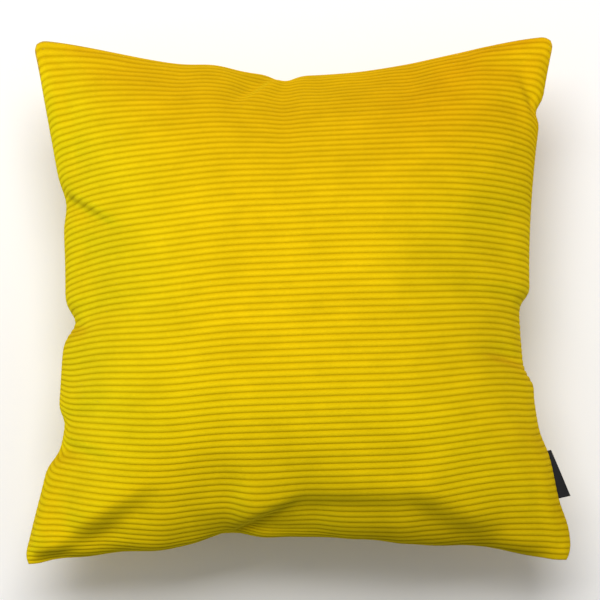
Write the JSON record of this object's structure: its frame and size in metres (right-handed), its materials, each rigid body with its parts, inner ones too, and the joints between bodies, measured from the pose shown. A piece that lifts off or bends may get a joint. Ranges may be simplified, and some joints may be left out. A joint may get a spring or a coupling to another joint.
{
  "type": "throw pillow",
  "caption": "Square throw pillow in yellow corduroy with ribs from side to side, a zip in one side seam, a black folded ribbon tab in another, and a separate fibre-filled insert.",
  "frame": {"origin": "centre of the flat patch that the back panel rests on, under the pillow's middle", "axes": "+Z out of the front panel, +X to the right of the front face along the ribs, +Y to its top side, -Y the zip side"},
  "size_m": [0.427, 0.427, 0.1522],
  "materials": {
    "corduroy": "soft cotton corduroy with a short velvety pile on its ribs",
    "thread_yellow": "spun polyester sewing thread",
    "zip_tape": "woven polyester tape",
    "zip_coil": "nylon coil",
    "zip_metal": "satin brass plate",
    "ribbon_black": "black satin ribbon",
    "ribbon_white": "white satin ribbon",
    "casing": "plain woven cotton",
    "thread_white": "spun polyester sewing thread",
    "fibre": "loose hollow polyester fibre"
  },
  "bodies": {
    "cover": {"cover_front_panel": "corduroy", "cover_back_panel": "corduroy", "cover_seam_thread": "thread_yellow", "cover_overlock_thread": "thread_yellow", "care_ribbon": "ribbon_white", "insert_front_casing": "casing", "insert_back_casing": "casing", "insert_seam_thread": "thread_white", "insert_filling": "fibre", "insert_ribbon": "ribbon_white", "zip_tape_front": "zip_tape", "zip_coil_front": "zip_coil", "zip_stitch_front": "thread_yellow", "zip_top_stop_front": "zip_metal", "zip_tape_back": "zip_tape", "zip_coil_back": "zip_coil", "zip_stitch_back": "thread_yellow", "zip_top_stop_back": "zip_metal", "zip_bottom_stop": "zip_metal"},
    "zip_slider": {"zip_slider_body": "zip_metal"},
    "zip_pull": {"zip_pull_tab": "zip_metal"},
    "side_tab": {"side_ribbon_tab": "ribbon_black"}
  },
  "joints": [
    {"name": "zip_slide", "type": "slide", "parent": "cover", "child": "zip_slider", "axis": [-1, 0, 0], "range_m": [0, 0.3]},
    {"name": "zip_pull_hinge", "type": "hinge", "parent": "zip_slider", "child": "zip_pull", "pos_m": [0.15, -0.18704, 0.068], "axis": [0, 0, 1], "range_deg": [0, 170]},
    {"name": "side_tab_flex", "type": "hinge", "parent": "cover", "child": "side_tab", "pos_m": [0.1997, -0.14347, 0.068], "axis": [-0.1737, 0.9848, 0], "range_deg": [-75, 75], "stiffness_Nm_per_rad": 0.004}
  ]
}
